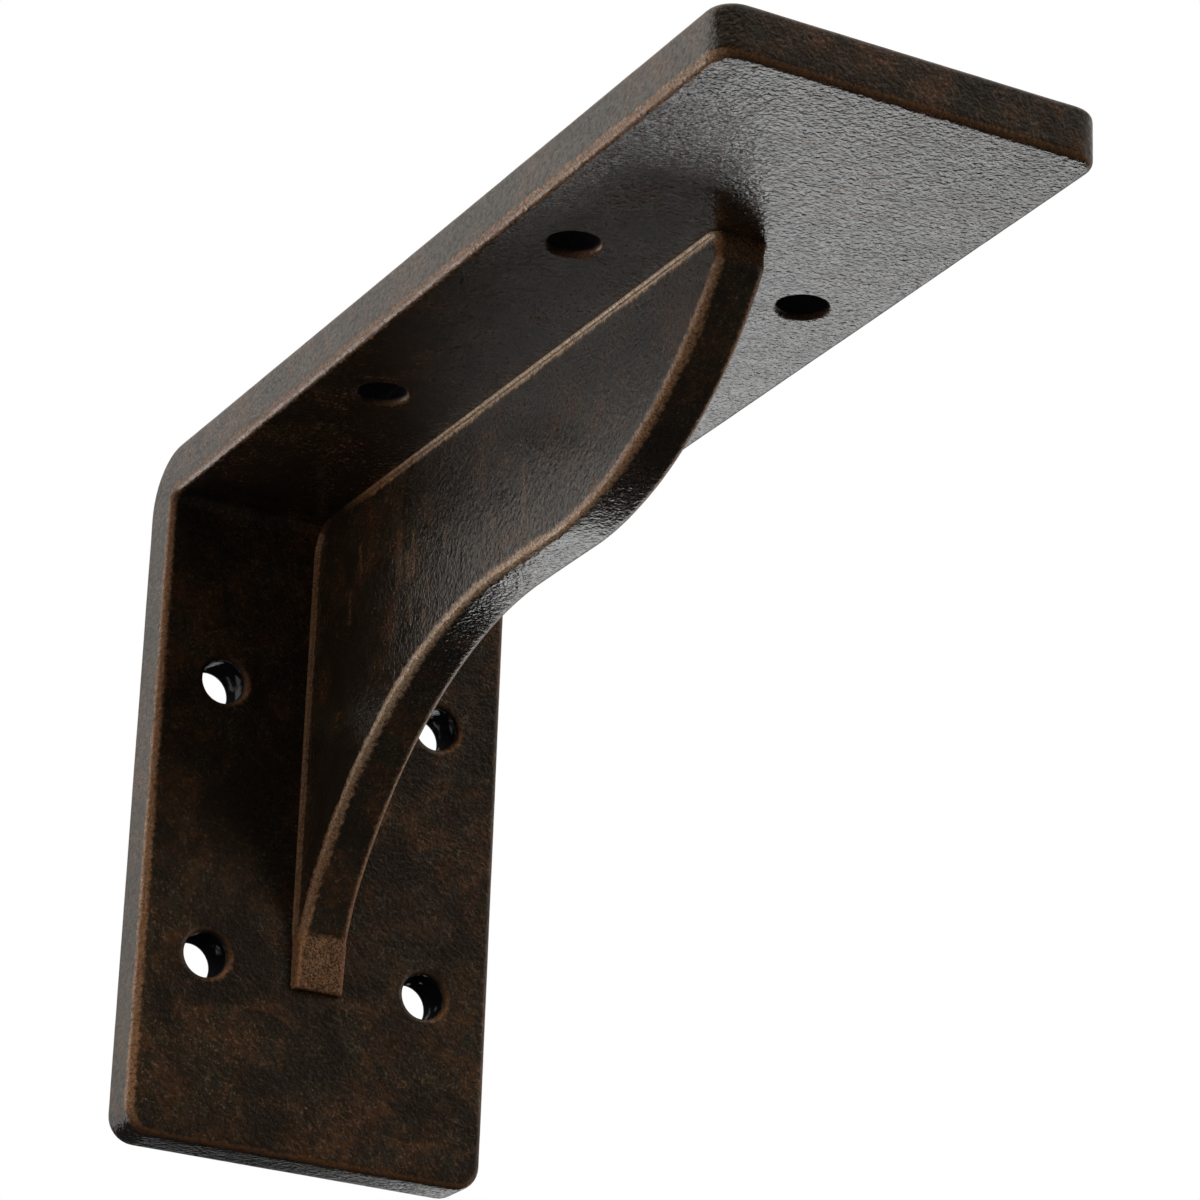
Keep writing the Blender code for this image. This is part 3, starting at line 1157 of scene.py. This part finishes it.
@dataclass
class WebPlate:
    """The upright plate in the angle under the arm, with an ogee front edge."""

    top: float
    finish: BronzeCoat
    relief: CoatRelief = CoatRelief(seed=11.0)
    stock: float = 6.9 * MM
    end_depth: float = 114.3 * MM
    shoulder_drop: float = 32.2 * MM
    swell_start_depth: float = 74.4 * MM
    swell_radius: float = 47.5 * MM
    hollow_start_depth: float = 60.8 * MM
    hollow_radius: float = 58.0 * MM
    nose_top_depth: float = 8.5 * MM
    nose_foot_depth: float = 7.9 * MM
    nose_foot_drop: float = 72.4 * MM
    heel_radius: float = 4.5 * MM
    heel_whole_turn: float = 50.0
    edge_round: float = 1.2 * MM
    seam_bead: float = 0.55 * MM
    nose_edge_share: float = 0.30
    seam_sink: float = 0.12 * MM
    bare_along: tuple[tuple[float, ...], tuple[float, ...]] = (
        (12.0 * MM, 30.0 * MM, 75.0 * MM, 95.0 * MM), (0.2, 1.0, 0.8, 0.25))
    seam_along: tuple[float, float] = (14.0 * MM, 25.0 * MM)
    seam_bare_along: tuple[float, float] = (25.0 * MM, 45.0 * MM)
    seam_least_bare: float = 0.1
    far_share: float = 0.6
    cell: float = 0.5 * MM
    marks: tuple[RubMark, ...] = (
        RubMark((-31.9 * MM, 34.0 * MM), (-32.8 * MM, 27.0 * MM), 1.3 * MM, 0.28),
        RubMark((-36.1 * MM, 33.1 * MM), (-36.8 * MM, 27.1 * MM), 0.5 * MM, 0.44),
        RubMark((-34.6 * MM, 30.0 * MM), (-35.4 * MM, 27.4 * MM), 1.0 * MM, 0.39),
        RubMark((-45.6 * MM, 30.1 * MM), (-45.9 * MM, 27.1 * MM), 0.6 * MM, 0.28),
        RubMark((-58.3 * MM, 27.2 * MM), (-58.6 * MM, 25.9 * MM), 0.9 * MM, 0.44),
        RubMark((-66.6 * MM, 32.7 * MM), (-67.5 * MM, 22.3 * MM), 0.7 * MM, 0.25),
        RubMark((-35.8 * MM, 23.9 * MM), (-36.8 * MM, 20.2 * MM), 0.6 * MM, 0.33),
        RubMark((-40.4 * MM, 20.4 * MM), (-40.3 * MM, 19.2 * MM), 0.6 * MM, 0.39),
        RubMark((-20.1 * MM, 36.6 * MM), (-20.9 * MM, 32.6 * MM), 0.5 * MM, 0.33),
        RubMark((-17.9 * MM, 30.5 * MM), (-18.1 * MM, 26.4 * MM), 0.6 * MM, 0.28),
    )

    def outline(self) -> tuple[np.ndarray, list[Edge]]:
        """Draw the web's outline anticlockwise in (Y, Z), as seen from +X.

        Returns:
            Points of the outline, and how the edge is finished at each.
        """
        seam_top = self.top - self.stock + self.seam_sink
        seam_back = -self.stock + self.seam_sink
        shoulder = self.top - self.shoulder_drop
        heel = (seam_back - self.heel_radius, seam_top - self.heel_radius)
        swell = (-self.swell_start_depth, shoulder + self.swell_radius)
        swell_reach = self.end_depth - self.swell_start_depth
        swell_turn = math.degrees(math.asin(swell_reach / self.swell_radius))
        hollow = (-self.hollow_start_depth, shoulder - self.hollow_radius)
        hollow_reach = self.hollow_start_depth - self.nose_top_depth
        hollow_turn = math.degrees(math.asin(hollow_reach / self.hollow_radius))
        end_foot = (-self.end_depth, swell[1] - self.swell_radius * math.cos(math.radians(swell_turn)))
        hollow_rise = self.hollow_radius * math.cos(math.radians(hollow_turn))
        nose_top = (-self.nose_top_depth, hollow[1] + hollow_rise)
        nose_foot = (-self.nose_foot_depth, self.top - self.nose_foot_drop)
        ledge = ((-self.swell_start_depth, shoulder), (-self.hollow_start_depth, shoulder))
        cell = self.cell
        stretches = [
            (straight((-self.end_depth, seam_top), end_foot, cell), Edge.SCUFFED),
            (arc(swell, self.swell_radius, 270 - swell_turn, 270, cell), Edge.OPEN),
            (straight(*ledge, cell), Edge.OPEN),
            (arc(hollow, self.hollow_radius, 90, 90 - hollow_turn, cell), Edge.OPEN),
            (straight(nose_top, nose_foot, cell), Edge.RUBBED),
            (straight(nose_foot, (seam_back, nose_foot[1]), cell), Edge.RUBBED),
            (straight((seam_back, nose_foot[1]), (seam_back, heel[1]), cell), Edge.LEG_SEAM),
            (arc(heel, self.heel_radius, 0, self.heel_whole_turn, cell), Edge.LEG_SEAM),
            (arc(heel, self.heel_radius, self.heel_whole_turn, 90, cell), Edge.FILLED),
            (straight((heel[0], seam_top), (-self.end_depth, seam_top), cell), Edge.SEAM),
        ]
        points = [point for run, _ in stretches for point in run]
        edges = [edge for run, edge in stretches for _ in run]
        return np.array(points), edges

    def rim_sizes(self, outline: np.ndarray, edges: list[Edge]) -> tuple[np.ndarray, np.ndarray]:
        """Size the rim, which is finer where the nose thins out over the leg.

        Args:
            outline: Points of the outline.
            edges: How the edge is finished at each.

        Returns:
            At each point the radius of the eased rim, and of the seam's bead.
        """
        hollow_drop = self.shoulder_drop + self.hollow_radius
        drop = np.clip(self.top - outline[:, 1], self.shoulder_drop, hollow_drop)
        swing = np.sqrt(np.maximum(self.hollow_radius ** 2 - (hollow_drop - drop) ** 2, 0.0))
        depth = np.maximum(self.hollow_start_depth - swing, self.nose_foot_depth)
        room = self.nose_edge_share * (depth - self.stock)
        seam = np.array([edge in (Edge.SEAM, Edge.LEG_SEAM, Edge.FILLED) for edge in edges], float)
        seam = (np.roll(seam, 1) + seam + np.roll(seam, -1)) / 3
        return np.minimum(self.edge_round, room) * (1.0 - seam), np.minimum(self.seam_bead, room) * seam

    def build(self) -> bpy.types.Object:
        """Make the web plate.

        Returns:
            The finished plate.
        """
        outline, edges = self.outline()
        ease, bead = self.rim_sizes(outline, edges)
        rub, wear, bare = np.array([EDGE_LOOKS[edge] for edge in edges]).T
        depth = -outline[:, 0]
        in_open, on_arm = (np.array([edge is kind for edge in edges]) for kind in (Edge.OPEN, Edge.SEAM))
        bare[in_open] *= np.interp(depth[in_open], *self.bare_along)
        wear[on_arm] *= np.interp(depth[on_arm], self.seam_along, (0.0, 1.0))
        bare[on_arm] *= np.interp(depth[on_arm], self.seam_bare_along, (self.seam_least_bare, 1.0))
        plate = EasedPlate(outline, ease, bead, rub, wear, bare, self.stock, self.cell,
                           far_share=self.far_share).build()
        plate.add_marks(self.marks)
        along, up, across = plate.points.T
        plate.points = np.column_stack([across - self.stock / 2, along, up])
        web = plate.to_object("web_plate_finished")
        tree, finish = shape_tree("coat_the_web")
        values = {finish: self.finish.build(), **self.relief.add_inputs(tree)}
        sheet = NodeSheet(tree)
        inputs = sheet.add("NodeGroupInput")
        close_tree(sheet, inputs, self.relief.sink(sheet, inputs, inputs.outputs["Geometry"]))
        set_in_mesh(web, tree, values)
        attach(web, "root")
        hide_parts("web_plate")
        report(web)
        return web


@dataclass(frozen=True)
class PhotoCamera:
    """Camera in front of the bracket, to its left and below it, looking up."""

    place: tuple[float, float, float] = (-0.25579, -0.55809, -0.21239)
    azimuth: float = 28.236
    elevation: float = 22.234
    roll: float = 2.050
    lens: float = 144.91
    sensor: float = 36.0

    def build(self) -> bpy.types.Object:
        """Make the camera and take it into use.

        Returns:
            The camera.
        """
        data = bpy.data.cameras.new("photo_camera")
        data.lens = self.lens
        data.sensor_width = self.sensor
        data.clip_start = 0.01
        data.clip_end = 100.0
        camera = bpy.data.objects.new("photo_camera", data)
        bpy.context.scene.collection.objects.link(camera)
        turn, lift = math.radians(self.azimuth), math.radians(self.elevation)
        ahead = Vector((math.sin(turn) * math.cos(lift), math.cos(turn) * math.cos(lift), math.sin(lift)))
        level = Vector((math.cos(turn), -math.sin(turn), 0.0))
        above = level.cross(ahead)
        roll = math.radians(self.roll)
        right = level * math.cos(roll) + above * math.sin(roll)
        up = above * math.cos(roll) - level * math.sin(roll)
        matrix = Matrix((right, up, -ahead)).transposed().to_4x4()
        matrix.translation = Vector(self.place)
        camera.matrix_world = matrix
        bpy.context.scene.camera = camera
        return camera


@dataclass(frozen=True)
class Softbox:
    """One large soft lamp that shows neither to the camera nor in the bracket's gloss."""

    name: str
    place: tuple[float, float, float]
    aim: tuple[float, float, float]
    size: tuple[float, float]
    power: float

    def build(self) -> bpy.types.Object:
        """Hang the lamp.

        Returns:
            The lamp.
        """
        data = bpy.data.lights.new(self.name, "AREA")
        data.shape = "RECTANGLE"
        data.size, data.size_y = self.size
        data.energy = self.power
        lamp = bpy.data.objects.new(self.name, data)
        bpy.context.scene.collection.objects.link(lamp)
        lamp.location = self.place
        lamp.rotation_mode = "QUATERNION"
        lamp.rotation_quaternion = (Vector(self.aim) - Vector(self.place)).to_track_quat("-Z", "Y")
        lamp.visible_camera = False
        lamp.visible_glossy = False
        return lamp


@dataclass(frozen=True)
class Flag:
    """A black card that only shows in the bracket's gloss and shade, never to the camera."""

    name: str
    middle: tuple[float, float, float]
    size: tuple[float, float]

    def build(self) -> bpy.types.Object:
        """Lay the card level.

        Returns:
            The card.
        """
        x, y, z = self.middle
        half_x, half_y = self.size[0] / 2, self.size[1] / 2
        corners = [(x - half_x, y - half_y, z), (x + half_x, y - half_y, z),
                   (x + half_x, y + half_y, z), (x - half_x, y + half_y, z)]
        data = bpy.data.meshes.new(self.name)
        data.from_pydata(corners, [], [(0, 1, 2, 3)])
        material = bpy.data.materials.new(self.name)
        material.use_nodes = True
        shader = material.node_tree.nodes["Principled BSDF"]
        shader.inputs["Base Color"].default_value = (0.01, 0.01, 0.01, 1.0)
        shader.inputs["Roughness"].default_value = 1.0
        shader.inputs["Specular IOR Level"].default_value = 0.0
        data.materials.append(material)
        card = bpy.data.objects.new(self.name, data)
        bpy.context.scene.collection.objects.link(card)
        card.visible_camera = False
        card.visible_shadow = False
        return card


@dataclass
class Studio:
    """Pale floor, white surroundings, soft lamps and the camera."""

    floor_height: float = -0.9
    floor_size: float = 12.0
    floor_colour: Colour = (0.80, 0.80, 0.80)
    behind: float = 1.08
    behind_dim: float = 0.50
    behind_sides: tuple[float, float] = (-0.26, -0.50)
    behind_edge: tuple[float, float] = (-0.15, 0.35)
    low_share: float = 0.70
    low_edge: tuple[float, float] = (0.36, 0.44)
    overhead: float = 0.35
    overhead_edge: tuple[float, float] = (0.25, 0.85)
    right: float = 0.30
    right_edge: tuple[float, float] = (0.45, 0.95)
    warm: Colour = (1.0, 0.955, 0.90)
    warm_edge: tuple[float, float] = (-0.10, -0.40)

    def lamps(self) -> list[Softbox]:
        """Choose the studio's lamps.

        Returns:
            Three lamps aimed at the bracket, and one at the floor behind it.
        """
        bracket, floor = (0.0, -0.07, 0.0), (0.2, 2.1, self.floor_height)
        return [Softbox("overhead_softbox", (0.0, 0.3, 2.2), bracket, (2.6, 2.6), 90.0),
                Softbox("floor_softbox", (0.2, 2.6, 1.6), floor, (3.6, 2.4), 215.0),
                Softbox("side_softbox", (1.15, -0.95, 0.40), bracket, (1.0, 1.0), 13.0),
                Softbox("fill_softbox", (-1.2, -0.6, -0.3), bracket, (1.0, 1.0), 2.7)]

    def flags(self) -> list[Flag]:
        """Cards that keep the floor below and in front of the bracket out of its gloss."""
        return [Flag("low_flag", (0.0, -1.05, -0.45), (3.6, 3.1)),
                Flag("foot_flag", (-0.008, 0.050, -0.062), (0.105, 0.120))]

    def world(self) -> None:
        """Put up white surroundings: bright behind, dimmer above and right, dark in front and below."""
        world = bpy.data.worlds.new("studio")
        world.use_nodes = True
        sheet = NodeSheet(world.node_tree)
        world.node_tree.nodes.clear()
        ahead = sheet.add("ShaderNodeTexCoord").outputs["Generated"]
        toward = sheet.add("ShaderNodeSeparateXYZ", {0: ahead}).outputs
        light = sheet.fade(toward["X"], *self.behind_sides, self.behind_dim, self.behind)
        light = sheet.math("MULTIPLY", light, sheet.fade(toward["Y"], *self.behind_edge))
        light = sheet.math("MULTIPLY", light, sheet.fade(toward["Z"], *self.low_edge, self.low_share, 1.0))
        glows = (("Z", self.overhead_edge, self.overhead), ("X", self.right_edge, self.right))
        for side, edge, strength in glows:
            light = sheet.math("MAXIMUM", light, sheet.fade(toward[side], *edge, 0.0, strength))
        tint = sheet.blend(sheet.fade(toward["X"], *self.warm_edge), (1.0, 1.0, 1.0), self.warm)
        around = sheet.add("ShaderNodeBackground", {"Color": tint, "Strength": light}).outputs[0]
        plain = sheet.add("ShaderNodeBackground", {"Color": (1.0, 1.0, 1.0, 1.0), "Strength": 1.0}).outputs[0]
        seen = sheet.add("ShaderNodeLightPath").outputs["Is Camera Ray"]
        mixed = sheet.add("ShaderNodeMixShader", {0: seen, 1: around, 2: plain}).outputs[0]
        sheet.add("ShaderNodeOutputWorld", {"Surface": mixed})
        bpy.context.scene.world = world

    def floor(self) -> None:
        """A plain pale floor, well below the bracket."""
        half = self.floor_size / 2
        corners = [(-half, -half), (half, -half), (half, half), (-half, half)]
        data = bpy.data.meshes.new("floor")
        data.from_pydata([(x, y, self.floor_height) for x, y in corners], [], [(0, 1, 2, 3)])
        material = bpy.data.materials.new("pale_floor")
        material.use_nodes = True
        shader = material.node_tree.nodes["Principled BSDF"]
        shader.inputs["Base Color"].default_value = (*self.floor_colour, 1.0)
        shader.inputs["Roughness"].default_value = 0.9
        data.materials.append(material)
        floor = bpy.data.objects.new("floor", data)
        bpy.context.scene.collection.objects.link(floor)

    def build(self) -> None:
        """Set up the whole studio."""
        self.world()
        self.floor()
        lamps, flags = self.lamps(), self.flags()
        for item in (*lamps, *flags):
            item.build()
        PhotoCamera().build()
        bpy.context.scene.view_settings.view_transform = "Standard"
        LOG.info("studio: floor at %.2f m, %d lamps, %d flags", self.floor_height, len(lamps), len(flags))


def main() -> None:
    """Build the bracket and its studio."""
    logging.basicConfig(level=logging.INFO, format="%(message)s")
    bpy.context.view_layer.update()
    low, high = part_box("bent_bar")
    bar = BentBar(width=high.x - low.x, reach=-low.y, top=high.z, foot=low.z,
                  finish=BronzeCoat("bronzed_bar"))
    bar.build()
    web = WebPlate(top=high.z, finish=BronzeCoat("bronzed_web"))
    web.build()
    Studio().build()


if __name__ == "__main__":
    main()
